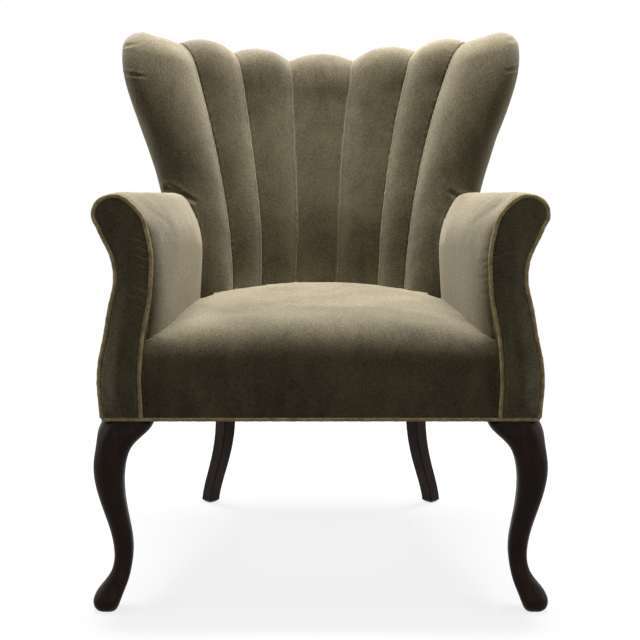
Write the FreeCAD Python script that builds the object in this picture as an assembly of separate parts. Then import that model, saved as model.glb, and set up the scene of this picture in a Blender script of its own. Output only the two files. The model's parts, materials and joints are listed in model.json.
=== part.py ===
import FreeCAD, Part
import math
import os

Vec = FreeCAD.Vector

# Reading chair with a fanned channel back, rolled arms and a tight crowned seat.
# Lengths are millimetres and angles degrees. X runs across the chair, Y from the
# front towards the back and Z up. Depths are counted from the front of the arm
# panels, and the finished chair is centred over the origin, standing on Z = 0.

# Clearances
soft_gap = 0.5              # between a padded piece and what it lies against
fit_gap = 0.3               # round a frame member inside the padding
bore_gap = 0.15             # round a bolt, screw or spring wire

# Plan of the base, over the covers
leg_height = 312.5          # floor to the underside of the seat frame
base_half_front = 351.0     # half the width at the front
base_half_rear = 224.0      # half the width at the rear corners
base_depth = 606.0          # arm panels to the rear corners
back_bow = 26.0             # how far the middle of the back stands behind the corners
cover_thickness = 4.0       # lining and velvet on the outside
cover_gap = 1.0             # between a cover and the frame behind it

# Seat frame
rail_height = 72.0
rail_thickness = 22.0
front_rail_depth = 31.0     # front face of the front rail
leg_block = 45.0            # square top of a front leg, inside the corner
leg_block_inset = 9.7       # from the arm panel back to the leg block
leg_block_half = 334.0      # centre of the chair to the outer face of a leg block
corner_block_height = 46.0
block_reach = 64.0          # corner block along each rail, from the corner

# Arms
arm_height = 675.6          # top of the scroll at the front
arm_drop = 29.0             # fall of the arm towards the back
arm_run = 450.0             # depth over which the arm falls and closes in
arm_inside_front = 265.5    # centre of the chair to the inside face of an arm
arm_inside_rear = 219.0
scroll_width_front = 91.5
scroll_width_rear = 77.0
arm_pad_thickness = 24.0
arm_pad_end = 520.0
panel_thickness = 9.0
arm_welt_radius = 2.8
base_welt_radius = 2.4
base_corner_radius = 6.0    # of the base welt in plan
# Share of the scroll's width outwards from the arm's inside face, its fall below the
# arm's top at the front, and the same where the arm runs into the back
scroll_outline = (
    (0.0, 76.0, 114.0),
    (0.19, 24.5, 42.0),
    (0.62, 0.0, 4.0),
    (0.94, 14.0, 14.0),
    (1.0, 33.0, 33.0),
    (0.90, 58.0, 58.0),
)
scroll_headings = ((0.0, 1.0), (0.75, -1.0))    # across and up, at its first and last point
scroll_lip = 6.0            # flat under the scroll
# Half width and height over the foot, up the inner edge of an arm panel
panel_inner_edge = (
    (283.0, 0.0),
    (284.6, 72.0),
    (280.0, 124.0),
    (265.0, 204.0),
)
# Half width and height over the foot, down its outer edge
panel_outer_edge = (
    (326.3, 245.4),
    (338.8, 152.4),
    (354.0, 67.4),
    (base_half_front, 0.0),
)
panel_headings = ((-0.03, 1.0), (0.05, -1.0))   # across and up, at its first and last point
arm_sections = 4            # loft steps along an inside arm
cover_sections = 3          # loft steps along an outside arm

# Seat
apron_thickness = 23.0      # padded front that falls to the welt
apron_front = 6.0           # depth of the apron's face
seat_edge_round = 40.0      # rounding of the front edge
seat_profile_step = 72.0    # depth from one row of the profile to the next
# Height along the sides and height of the crown, from front to rear
seat_profile = (
    (432.0, 455.0),
    (448.0, 466.0),
    (451.0, 471.0),
    (452.0, 475.0),
    (452.0, 476.0),
    (451.0, 475.0),
    (450.0, 473.0),
    (448.0, 470.0),
    (446.0, 467.0),
)

# Back, a leaning cone that opens upwards
low_level = 460.0
low_radius = 289.0
low_centre = 267.0
high_level = 900.0
high_radius = 430.0
high_centre = 283.0
middle_level = 640.0
back_half_thickness = 40.0  # from the middle of the back to a seam, either side
shoulder_height = 848.0     # where the crest starts to roll over, at the middle
shoulder_rise = 55.0        # how much higher it starts at the wings
shoulder_power = 1.35
wing_angle = 51.5           # plan angle at which a wing is as high as it gets
wing_low_level = 640.0      # where a wing's rolled edge leaves the arm
wing_low_angle = 49.6       # plan angle of the rolled edge there
wing_wide_level = 840.0     # where a wing is widest
wing_wide_angle = 53.6
wing_round = 80.0           # height over the widest place in which the edge draws in
wing_fall = 3.2             # by this plan angle
channel_depth = 14.0        # from a seam back to the base of the padding
channel_crown = 0.155       # crown of a channel as a share of its width
channel_overhang = 30.0     # how far the channels fall behind the crest
least_crown = 0.5           # share of the crown that a channel keeps where the back bends away
wing_edge_entry = 40.0      # where a wing's crown runs into its rolled edge, round the edge
wing_rear_angle = 3.5       # plan angle from a wing's edge to the rear corner of its roll
face_steps = 14             # loft steps up the face of a channel
crest_steps = 6             # loft steps over the crest
dome_steps = 7              # loft sections over the top of a wing
dome_step = 14.0            # angle from one of them to the next
crest_line_steps = 8
behind_angle = 80.0         # plan angle that takes in the whole back
burlap_thickness = 1.0
burlap_angle = 34.0
webbing_thickness = 1.5
webbing_width = 50.0
webbing_count = 5
webbing_angle = 15.0        # plan angle from strip to strip
# Plan angles of the sewn seams at the low, middle and high level
seam_angles = (
    (-41.0, -36.5, -38.8),
    (-27.0, -23.0, -24.0),
    (-11.6, -8.5, -8.6),
    (6.8, 6.7, 8.8),
    (25.8, 23.4, 26.0),
    (38.8, 35.6, 40.0),
)
# Frame members of the back and arms
post_size = 30.0
post_foot = (204.0, 566.0)  # half width and depth where a back post stands
post_head = (301.0, 567.0)
post_head_height = 872.0
top_rail_foot = 800.0
top_rail_thickness = 22.0
top_rail_angle = 42.0
top_rail_rise = 19.5        # how far the top rail stands over the crest line
lower_rail_height = 44.0
lower_rail_level = 440.0
arm_post_width = 26.0
arm_post_depth = 40.0
arm_rail_height = 38.0
arm_rail_width = 28.0
arm_rail_below_top = 42.0   # scroll top to the top of the rail inside it
stuffing_rail_level = 470.0
stuffing_rail_height = 44.0
stuffing_rail_thickness = 16.0
wing_board_thickness = 16.0
wing_board_foot = 640.0
wing_board_head = 900.0

# Legs
rear_leg_side = 32.0        # square section at the top, turned an eighth
rear_leg_foot_side = 25.7
rear_leg_bevel = 6.0
rear_leg_rounding = 0.08    # corner radius as a share of the side
front_leg_rounding = 0.36
bevel_rounding = 1.0
front_leg_corner = 348.0    # outer face of the front leg at the frame
# Share of the leg's height, how far it stands out of the corner line, its side
front_leg_profile = (
    (0.0, 9.6, 24.0),
    (0.016, 16.0, 35.0),
    (0.051, 19.4, 43.4),
    (0.085, 17.0, 45.0),
    (0.120, 9.0, 41.5),
    (0.166, -3.0, 34.0),
    (0.215, -10.0, 30.0),
    (0.310, -12.0, 31.0),
    (0.465, -3.0, 35.5),
    (0.640, 11.0, 44.0),
    (0.770, 15.0, 50.5),
    (0.880, 11.0, 62.0),
    (1.0, 0.0, 79.0),
)
# Share of the leg's height, half width and depth of its middle
rear_leg_line = (
    (0.0, 226.0, 632.0),
    (0.20, 212.5, 615.5),
    (0.34, 201.0, 604.0),
    (0.54, 191.5, 592.5),
    (1.0, 187.5, 584.0),
)

# Springs and fasteners
spring_count = 5
spring_spacing = 70.0
spring_wire = 3.6
spring_bend = 13.0          # radius of a turn of the zigzag
spring_half_width = 24.0
clip_size = (20.0, 22.0)
clip_wall = 1.2             # of a clip, under and over the wire
sheet_thickness = 1.5       # burlap under the seat
dust_cover_thickness = 0.8
screw_diameter = 4.5
screw_head = 8.5
screw_length = 42.0
screw_set_back = 25.3       # screw head to the rail that it bites into
rear_screw_share = 0.62     # place of a rear screw along its block
bolt_diameter = 8.0
bolt_length = 132.0
bolt_offset = (3.0, 13.0)   # from the middle of the leg's top inwards and forwards
nut_across = 15.0
nut_height = 6.5

# Levels and places that follow
rail_top = leg_height + rail_height
welt_level = leg_height + base_welt_radius
cover_bottom = leg_height + 2 * base_welt_radius + fit_gap
spring_level = rail_top + clip_wall + spring_wire / 2 + bore_gap
burlap_level = spring_level + spring_wire / 2 + clip_wall + fit_gap
seat_bottom = burlap_level + sheet_thickness + fit_gap
channel_foot = seat_bottom
side_slope = (base_half_front - base_half_rear) / base_depth
back_slope = (high_radius - low_radius) / (high_level - low_level)
centre_slope = (high_centre - low_centre) / (high_level - low_level)
frame_inset = cover_thickness + cover_gap
arm_frame_front = leg_block_inset + 2 * cover_gap
apron_half = panel_inner_edge[0][0] - soft_gap
burlap_offset = channel_depth - back_half_thickness + fit_gap
# Outside of the back: level, half width at the corners, their depth, depth at the middle
outside_levels = (
    (cover_bottom, base_half_rear, base_depth, base_depth + back_bow),
    (600.0, 283.0, 578.0, 662.0),
    (750.0, 317.0, 582.0, 706.0),
    (930.0, 357.0, 606.0, 760.0),
)

os.makedirs("parts", exist_ok=True)
nodes = {}


# Curves and solids used by several pieces
def keep(name, shape):
    nodes[name] = shape


def line(start, end):
    return Part.LineSegment(start, end).toShape()


def arc(start, middle, end):
    bow = (middle - (start + end) * 0.5).Length
    if bow < 0.01:
        return line(start, end)
    return Part.Arc(start, middle, end).toShape()


def unit(x, y):
    size = math.hypot(x, y)
    return (x / size, y / size)


def arc_middle(start, end, heading):
    # Middle of the arc that leaves start along heading and ends at end
    cx, cy = end[0] - start[0], end[1] - start[1]
    chord = math.hypot(cx, cy)
    along = (heading[0] * cx + heading[1] * cy) / chord
    across = (heading[1] * cx - heading[0] * cy) / chord
    bow = chord / 2 * math.tan(math.atan2(across, along) / 2)
    return ((start[0] + end[0]) / 2 - cy / chord * bow, (start[1] + end[1]) / 2 + cx / chord * bow)


def arc_pair(start, heading, end, leaving):
    # Joint of the two tangent arcs that lead from start to end
    vx, vy = end[0] - start[0], end[1] - start[1]
    tx, ty = heading[0] + leaving[0], heading[1] + leaving[1]
    spread = 2 * (1 - heading[0] * leaving[0] - heading[1] * leaving[1])
    forward = vx * tx + vy * ty
    if spread < 1e-6:
        reach = (vx * vx + vy * vy) / (2 * forward)
    else:
        reach = (math.sqrt(forward * forward + spread * (vx * vx + vy * vy)) - forward) / spread
    return (
        (start[0] + end[0] + reach * (heading[0] - leaving[0])) / 2,
        (start[1] + end[1] + reach * (heading[1] - leaving[1])) / 2,
    )


def smooth_spans(points, first=None, last=None):
    # Tangent arcs through the points, as start, middle and end of each arc
    headings = []
    for index in range(len(points)):
        before = points[max(index - 1, 0)]
        after = points[min(index + 1, len(points) - 1)]
        here = points[index]
        if 0 < index < len(points) - 1:
            back = math.dist(before, here)
            ahead = math.dist(here, after)
            x = (here[0] - before[0]) / back * ahead + (after[0] - here[0]) / ahead * back
            y = (here[1] - before[1]) / back * ahead + (after[1] - here[1]) / ahead * back
            headings.append(unit(x, y))
        else:
            headings.append(unit(after[0] - before[0], after[1] - before[1]))
    if first:
        headings[0] = unit(*first)
    if last:
        headings[-1] = unit(*last)
    spans = []
    for index in range(len(points) - 1):
        start, end = points[index], points[index + 1]
        joint = arc_pair(start, headings[index], end, headings[index + 1])
        spans.append((start, arc_middle(start, joint, headings[index]), joint))
        backwards = (-headings[index + 1][0], -headings[index + 1][1])
        spans.append((joint, arc_middle(end, joint, backwards), end))
    return spans


def beside(spans, distance):
    # The same spans moved to the left of their direction by a distance
    moved = []
    for start, middle, end in spans:
        along = unit(end[0] - start[0], end[1] - start[1])
        half_chord = math.dist(start, end) / 2
        bow_x = middle[0] - (start[0] + end[0]) / 2
        bow_y = middle[1] - (start[1] + end[1]) / 2
        bow = bow_x * along[1] - bow_y * along[0]
        turn = 2 * math.atan2(bow, half_chord)
        shifted = []
        for point, angle in ((start, -turn), (middle, 0.0), (end, turn)):
            normal = (-along[1] * math.cos(angle) - along[0] * math.sin(angle),
                      along[0] * math.cos(angle) - along[1] * math.sin(angle))
            shifted.append((point[0] + normal[0] * distance, point[1] + normal[1] * distance))
        moved.append(tuple(shifted))
    return moved


def edges_from(spans, place):
    return [arc(place(start), place(middle), place(end)) for start, middle, end in spans]


def loft(sections, ruled=False):
    return Part.makeLoft(sections, True, ruled)


def joined(shapes):
    whole = shapes[0]
    if len(shapes) > 1:
        whole = whole.fuse(shapes[1:])
    return whole.removeSplitter()


def without(shape, tools):
    for tool in tools:
        shape = shape.cut(tool)
    return max(shape.Solids, key=lambda solid: solid.Volume)


def prism(corners, level, height):
    points = [Vec(x, y, level) for x, y in corners]
    return Part.Face(Part.makePolygon(points + points[:1])).extrude(Vec(0, 0, height))


def bar(start, end, width, height, grow=0.0):
    # Straight rail between two points that mark the middle of its ends
    run = end - start
    across = Vec(-run.y, run.x, 0)
    across.normalize()
    side = across * (width / 2 + grow)
    up = Vec(0, 0, height / 2 + grow)
    corners = [start - side - up, start + side - up, start + side + up, start - side + up]
    return Part.Face(Part.makePolygon(corners + corners[:1])).extrude(run)


def post(foot, head, size, grow=0.0):
    half = size / 2 + grow
    sections = []
    for x, y, z in (foot, head):
        corners = [Vec(x - half, y - half, z), Vec(x + half, y - half, z)]
        corners += [Vec(x + half, y + half, z), Vec(x - half, y + half, z)]
        sections.append(Part.makePolygon(corners + corners[:1]))
    return loft(sections, True)


def rounded_square(x, y, z, half, radius, turned=False):
    # Square with rounded corners, its sides along X and Y or turned an eighth
    inner = half - radius
    bend = radius * math.sqrt(0.5)
    stops = []
    for index, (sx, sy) in enumerate(((1, -1), (1, 1), (-1, 1), (-1, -1))):
        cx, cy = sx * inner, sy * inner
        ahead = (cx + sx * radius, cy)
        beside = (cx, cy + sy * radius)
        middle = (cx + sx * bend, cy + sy * bend)
        stops.append((beside, middle, ahead) if index % 2 == 0 else (ahead, middle, beside))
    angle = math.radians(45 if turned else 0)

    def place(point):
        px, py = point
        turned_x = px * math.cos(angle) - py * math.sin(angle)
        turned_y = px * math.sin(angle) + py * math.cos(angle)
        return Vec(x + turned_x, y + turned_y, z)

    edges = []
    for index, (start, middle, end) in enumerate(stops):
        edges.append(arc(place(start), place(middle), place(end)))
        edges.append(line(place(end), place(stops[(index + 1) % len(stops)][0])))
    return Part.Wire(edges)


def mirrored(shape):
    return shape.mirror(Vec(0, 0, 0), Vec(1, 0, 0))


def both(shapes):
    return shapes + [mirrored(shape) for shape in shapes]


def keep_pair(name, left):
    # The left piece is modelled on the negative side of X
    keep(name + "_left", left)
    keep(name + "_right", mirrored(left))


def tube(path, radius):
    start = path.Edges[0]
    spot = start.valueAt(start.FirstParameter)
    heading = start.tangentAt(start.FirstParameter)
    ring = Part.Wire(Part.makeCircle(radius, spot, heading))
    return path.makePipeShell([ring], True, False)


# Places on the base and arms
def side_at(depth):
    # Half width over the side covers at their foot
    return base_half_front - side_slope * depth


def arm_inside(depth):
    return arm_inside_front - (arm_inside_front - arm_inside_rear) * depth / arm_run


def arm_top(depth):
    return arm_height - arm_drop * depth / arm_run


def scroll_width(depth):
    return scroll_width_front - (scroll_width_front - scroll_width_rear) * depth / arm_run


# Places on the back
def back_radius(level):
    return low_radius + back_slope * (level - low_level)


def back_centre(level):
    return low_centre + centre_slope * (level - low_level)


def back_point(angle, level, offset):
    # Offset is counted from the middle of the back, outwards
    radius = back_radius(level) + offset
    turn = math.radians(angle)
    return Vec(radius * math.sin(turn), back_centre(level) + radius * math.cos(turn), level)


def seam_angle(seam, level):
    low, middle, high = seam_angles[seam]
    if level < middle_level:
        share = (middle_level - level) / (middle_level - low_level)
        return middle + (low - middle) * share * share
    share = (level - middle_level) / (high_level - middle_level)
    return middle + (high - middle) * share * share


def shoulder(angle):
    return shoulder_height + shoulder_rise * (abs(angle) / wing_angle) ** shoulder_power


def wing_edge_angle(level):
    if level > wing_wide_level:
        return wing_wide_angle - wing_fall * ((level - wing_wide_level) / wing_round) ** 2
    share = max((level - wing_low_level) / (wing_wide_level - wing_low_level), 0)
    return wing_low_angle + (wing_wide_angle - wing_low_angle) * share * share * (3 - 2 * share)


def outside_at(level):
    rows = list(zip(outside_levels[:-1], outside_levels[1:]))
    below, above = rows[-1]
    for lower, upper in rows:
        if level <= upper[0]:
            below, above = lower, upper
            break
    share = (level - below[0]) / (above[0] - below[0])
    return [low + (high - low) * share for low, high in zip(below, above)]


# Legs
def front_leg():
    sections = []
    for share, out, side in front_leg_profile:
        x = -(front_leg_corner + out - side / 2)
        y = -out + side / 2
        sections.append(rounded_square(x, y, share * leg_height, side / 2, side * front_leg_rounding))
    block_x = -leg_block_half
    block = Part.makeBox(leg_block, leg_block, rail_height, Vec(block_x, leg_block_inset, leg_height))
    return joined([loft(sections), block])


def rear_leg():
    sections = []
    for share, half_width, depth in rear_leg_line:
        side = rear_leg_foot_side + (rear_leg_side - rear_leg_foot_side) * share
        rounding = side * rear_leg_rounding
        sections.append(rounded_square(-half_width, depth, share * leg_height, side / 2, rounding, True))
    leg = loft(sections)
    # Bevelled foot, cut square to the floor
    low = rear_leg_bevel / leg_height
    (_, foot_x, foot_y), (share, next_x, next_y) = rear_leg_line[0], rear_leg_line[1]
    bevel_x = foot_x + (next_x - foot_x) * low / share
    bevel_y = foot_y + (next_y - foot_y) * low / share
    half = rear_leg_foot_side / 2 + bevel_rounding
    ends = [rounded_square(-foot_x, foot_y, 0, half - rear_leg_bevel, bevel_rounding, True),
            rounded_square(-bevel_x, bevel_y, rear_leg_bevel, half, bevel_rounding, True)]
    above = Part.makeBox(base_depth, 2 * base_depth, leg_height, Vec(-base_depth, 0, rear_leg_bevel))
    return joined([leg.common(above), leg.common(loft(ends, True))])


# Seat frame
def side_rail():
    first = leg_block_inset + leg_block + fit_gap
    last = outside_at(rail_top)[2] - frame_inset - cover_gap
    outer = frame_inset
    inner = frame_inset + rail_thickness
    corners = []
    for depth, inset in ((first, outer), (last, outer), (last, inner), (first, inner)):
        corners.append((-side_at(depth) + inset, depth))
    return prism(corners, leg_height, rail_height)


def rail_inside(depth):
    return side_at(depth) - frame_inset - rail_thickness


front_rail_half = leg_block_half - leg_block - fit_gap
front_rail = Part.makeBox(2 * front_rail_half, rail_thickness, rail_height,
                          Vec(-front_rail_half, front_rail_depth, leg_height))
back_rail_rear = base_depth - frame_inset - cover_gap
back_rail_front = back_rail_rear - rail_thickness


def back_rail():
    corners = []
    front, rear = back_rail_front, back_rail_rear
    for side, depth in ((-1, front), (1, front), (1, rear), (-1, rear)):
        corners.append((side * (rail_inside(depth) - fit_gap), depth))
    return prism(corners, leg_height, rail_height)


front_rail_rear = front_rail_depth + rail_thickness
block_level = leg_height + (rail_height - corner_block_height) / 2


def front_block():
    depth = leg_block_inset + leg_block + fit_gap
    inner = leg_block_half - leg_block
    corners = [
        (-inner + fit_gap, front_rail_rear),
        (-inner + block_reach, front_rail_rear),
        (-rail_inside(depth + block_reach), depth + block_reach),
        (-rail_inside(depth), depth),
        (-inner + fit_gap, depth),
    ]
    return prism(corners, block_level, corner_block_height)


def rear_block():
    corners = [
        (-rail_inside(back_rail_front), back_rail_front),
        (-rail_inside(back_rail_front - block_reach), back_rail_front - block_reach),
        (-rail_inside(back_rail_front) + block_reach, back_rail_front),
    ]
    return prism(corners, block_level, corner_block_height)


def screw(head, heading, grow=0.0):
    shank = Part.makeCylinder(screw_diameter / 2 + grow, screw_length, head, heading)
    cap = Part.makeCylinder(screw_head / 2 + grow, screw_diameter, head, heading)
    return shank.fuse(cap)


def screws(grow=0.0):
    # One screw from each corner block into each of the two rails it joins
    middle = block_level + corner_block_height / 2
    drop = corner_block_height / 4
    side_front = leg_block_inset + leg_block + block_reach / 2
    side_rear = back_rail_front - block_reach * rear_screw_share
    front_x = -leg_block_half + leg_block + block_reach / 2
    rear_x = -rail_inside(back_rail_front) + block_reach * rear_screw_share
    spots = [
        (Vec(front_x, front_rail_rear + screw_set_back, middle + drop), Vec(0, -1, 0)),
        (Vec(-rail_inside(side_front) + screw_set_back, side_front, middle - drop), Vec(-1, 0, 0)),
        (Vec(rear_x, back_rail_front - screw_set_back, middle + drop), Vec(0, 1, 0)),
        (Vec(-rail_inside(side_rear) + screw_set_back, side_rear, middle - drop), Vec(-1, 0, 0)),
    ]
    return both([screw(spot, heading, grow) for spot, heading in spots])


bolt_spot = Vec(-rear_leg_line[-1][1] + bolt_offset[0], rear_leg_line[-1][2] - bolt_offset[1],
                leg_height - bolt_length / 2)


def leg_bolts(grow=0.0):
    # Hanger bolts that hold the rear legs to their corner blocks
    shank = Part.makeCylinder(bolt_diameter / 2 + grow, bolt_length + grow, bolt_spot)
    flat = nut_across / 2 / math.cos(math.pi / 6)
    seat = block_level + corner_block_height
    ring = [Vec(bolt_spot.x + flat * math.cos(turn), bolt_spot.y + flat * math.sin(turn), seat)
            for turn in (math.pi / 3 * step for step in range(6))]
    nut = Part.Face(Part.makePolygon(ring + ring[:1])).extrude(Vec(0, 0, nut_height))
    return both([shank.fuse(nut)])


# Arm outlines seen from the front, for the left arm
def scroll_points(depth):
    outline = []
    for share, front_fall, rear_fall in scroll_outline:
        fall = front_fall + (rear_fall - front_fall) * depth / arm_run
        outline.append((-arm_inside(depth) - share * scroll_width(depth), arm_top(depth) - fall))
    return outline


def panel_points():
    inner = [(-half_width, cover_bottom + rise) for half_width, rise in panel_inner_edge]
    outer = [(-half_width, cover_bottom + rise) for half_width, rise in panel_outer_edge]
    return inner + scroll_points(0) + outer


def front_view(depth):
    return lambda point: Vec(point[0], depth, point[1])


def panel_spans(inset):
    return beside(smooth_spans(panel_points(), *panel_headings), inset)


def arm_panel():
    place = front_view(0)
    spans = panel_spans(2 * arm_welt_radius + fit_gap)
    foot = line(place(spans[-1][2]), place(spans[0][0]))
    return Part.Face(Part.Wire(edges_from(spans, place) + [foot])).extrude(Vec(0, panel_thickness, 0))


def arm_welt():
    path = Part.Wire(edges_from(panel_spans(arm_welt_radius), front_view(arm_welt_radius)))
    return tube(path, arm_welt_radius)


def arm_pad_section(depth):
    place = front_view(depth)
    points = scroll_points(depth)
    inside = points[0][0]
    outside = inside - arm_pad_thickness
    under = (outside, points[-1][1] - scroll_lip)
    scroll = edges_from(smooth_spans(points, *scroll_headings), place)
    corners = [points[-1], under, (outside, channel_foot), (inside, channel_foot), points[0]]
    rest = [line(place(start), place(end)) for start, end in zip(corners[:-1], corners[1:])]
    return Part.Wire(scroll + rest)


def arm_pad():
    first = panel_thickness + fit_gap
    step = (arm_pad_end - first) / arm_sections
    return loft([arm_pad_section(first + index * step) for index in range(arm_sections + 1)])


def outside_arm_points(depth):
    # Flared outer face from under the scroll down to the welt, straighter to the rear
    share = depth / base_depth
    under_scroll = scroll_points(depth)[-1]
    front = panel_points()[-len(panel_outer_edge) - 1:]
    heights = [under_scroll[1] - 2 * cover_gap] + [point[1] for point in front[1:]]
    points = []
    for (front_x, _), height in zip(front, heights):
        rear_x = -outside_at(height)[1]
        points.append((front_x + (rear_x - front_x) * share, height))
    return points


def outside_arm(outer=0.0, inner=cover_thickness):
    sections = []
    first = panel_thickness + fit_gap
    step = (base_depth - cover_thickness - first) / cover_sections
    for index in range(cover_sections + 1):
        depth = first + index * step
        spans = smooth_spans(outside_arm_points(depth))
        skin = beside(spans, outer)
        lining = [span[::-1] for span in beside(spans, inner)[::-1]]
        place = front_view(depth)
        foot = line(place(skin[-1][2]), place(lining[0][0]))
        head = line(place(lining[-1][2]), place(skin[0][0]))
        sections.append(Part.Wire(edges_from(skin, place) + [foot] + edges_from(lining, place) + [head]))
    return loft(sections)


def arm_post():
    inner = leg_block_half - leg_block
    foot = Vec(-inner - cover_gap - arm_post_width / 2, arm_frame_front + arm_post_depth / 2, rail_top)
    reach = arm_top(0) - arm_rail_below_top - rail_top
    corner = foot - Vec(arm_post_width, arm_post_depth, 0) / 2
    block = Part.makeBox(arm_post_width, arm_post_depth, reach, corner)
    return min(block.cut(arm_top_rail(bore_gap)).Solids, key=lambda solid: solid.BoundBox.ZMin)


def arm_top_rail(grow=0.0):
    middle = arm_rail_below_top + arm_rail_height / 2
    inner = leg_block_half - leg_block
    start = Vec(-inner - cover_gap - arm_post_width / 2, arm_frame_front, arm_top(0) - middle)
    share = (arm_top(post_foot[1]) - middle - rail_top) / (post_head_height - rail_top)
    end_x = -post_foot[0] - (post_head[0] - post_foot[0]) * share
    end_y = post_foot[1] + (post_head[1] - post_foot[1]) * share - post_size / 2
    end = Vec(end_x, end_y, arm_top(end_y) - middle)
    return bar(start, end, arm_rail_width, arm_rail_height, grow)


def stuffing_rail(grow=0.0):
    middle = stuffing_rail_level + stuffing_rail_height / 2
    first = arm_frame_front + arm_post_depth + cover_gap
    beyond = arm_pad_thickness + cover_gap + stuffing_rail_thickness / 2
    start = Vec(-arm_inside(first) - beyond, first, middle)
    last = post_foot[1] - post_size / 2
    end = Vec(-arm_inside(last) - beyond, last, middle)
    return bar(start, end, stuffing_rail_thickness, stuffing_rail_height, grow)


# Back frame
def back_post(grow=0.0):
    foot = (-post_foot[0], post_foot[1], rail_top)
    head = (-post_head[0], post_head[1], post_head_height)
    return post(foot, head, post_size, grow)


def cone_band(first, last, levels, inner, outer):
    # Piece of the leaning cone between two plan angles and two offsets
    middle = (first + last) / 2
    sections = []
    for level in levels:
        far = [back_point(angle, level, outer) for angle in (first, middle, last)]
        near = [back_point(angle, level, inner) for angle in (last, middle, first)]
        sections.append(Part.Wire([arc(*far), line(far[2], near[0]), arc(*near), line(near[2], far[0])]))
    return loft(sections, True)


def under_crest(drop, offset):
    # Everything below the crest line at an offset, lowered by a drop
    points = []
    for step in range(crest_line_steps + 1):
        angle = wing_angle * (2 * step / crest_line_steps - 1)
        level = shoulder(angle) - drop
        points.append((back_point(angle, level, offset).x, level))
    place = front_view(0)
    wide = 2 * base_half_front
    left, right = points[0], points[-1]
    corners = [right, (wide, right[1]), (wide, 0), (-wide, 0), (-wide, left[1]), left]
    rest = [line(place(start), place(end)) for start, end in zip(corners[:-1], corners[1:])]
    outline = Part.Wire(edges_from(smooth_spans(points), place) + rest)
    return Part.Face(outline).extrude(Vec(0, 2 * base_depth, 0))


def top_rail():
    half = top_rail_thickness / 2
    levels = (top_rail_foot, high_level + shoulder_rise)
    band = cone_band(-top_rail_angle, top_rail_angle, levels, -half, half)
    posts = both([back_post(bore_gap)])
    return without(band.common(under_crest(-top_rail_rise, 0)), posts)


def lower_rail():
    share = (lower_rail_level - rail_top) / (post_head_height - rail_top)
    reach = post_foot[0] + (post_head[0] - post_foot[0]) * share - post_size / 2 - fit_gap
    middle = Vec(0, post_foot[1], lower_rail_level + lower_rail_height / 2)
    return bar(middle - Vec(reach, 0, 0), middle + Vec(reach, 0, 0), rail_thickness, lower_rail_height)


def wing_board(grow=0.0):
    half = wing_board_thickness / 2 + grow
    sections = []
    for level in (wing_board_foot - grow, wing_board_head + grow):
        centre = back_point(-wing_angle, level, 0)
        turn = math.radians(wing_angle)
        out = Vec(-math.cos(turn), -math.sin(turn), 0)
        depth_way = Vec(-math.sin(turn), math.cos(turn), 0)
        tip = centre + out * (wing_board_thickness + grow)
        share = (level - rail_top) / (post_head_height - rail_top)
        root = Vec(-post_foot[0] - (post_head[0] - post_foot[0]) * share - post_size / 2,
                   post_foot[1] + (post_head[1] - post_foot[1]) * share, level)
        root = root + Vec(0, -post_size / 2 + half, 0)
        corners = [tip - depth_way * half, root - Vec(0, half, 0)]
        corners += [root + Vec(0, half, 0), tip + depth_way * half]
        sections.append(Part.makePolygon(corners + corners[:1]))
    return loft(sections, True)


def back_webbing():
    outer = burlap_offset + burlap_thickness + fit_gap
    strips = []
    half_angle = math.degrees(webbing_width / 2 / high_radius)
    for index in range(webbing_count):
        angle = (index - (webbing_count - 1) / 2) * webbing_angle
        strips.append(cone_band(angle - half_angle, angle + half_angle, (channel_foot, shoulder_height),
                                outer, outer + webbing_thickness))
    return strips


# Channels
def crest_tilt(angle):
    turn = math.radians(angle)
    way = Vec(back_slope * math.sin(turn), back_slope * math.cos(turn) + centre_slope, 1)
    way.normalize()
    return way


def outward(angle):
    return Vec(math.sin(math.radians(angle)), math.cos(math.radians(angle)), 0)


face_shares = [step / face_steps for step in range(face_steps + 1)]
crest_turns = [180.0 * (step + 1) / crest_steps for step in range(crest_steps)]
dome_turns = [dome_step * step for step in range(dome_steps)]


def back_place(angle, station):
    # Point over a seam's line and the direction that faces out of the padding
    kind, amount = station
    top = shoulder(angle)
    out = outward(angle)
    if kind == "face":
        level = channel_foot + (top - channel_foot) * amount
        return back_point(angle, level, -back_half_thickness), out * -1
    if kind == "behind":
        return back_point(angle, top - amount, back_half_thickness), out
    turn = math.radians(amount)
    tilt = crest_tilt(angle)
    facing = tilt * math.sin(turn) - out * math.cos(turn)
    return back_point(angle, top, 0) + facing * back_half_thickness, facing


def channel_stations():
    stations = [("face", share) for share in face_shares]
    stations += [("crest", turn) for turn in crest_turns]
    stations.append(("behind", channel_overhang))
    return stations


def station_level(station):
    kind, amount = station
    if kind == "face":
        return channel_foot + (high_level - channel_foot) * amount
    return high_level


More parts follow.
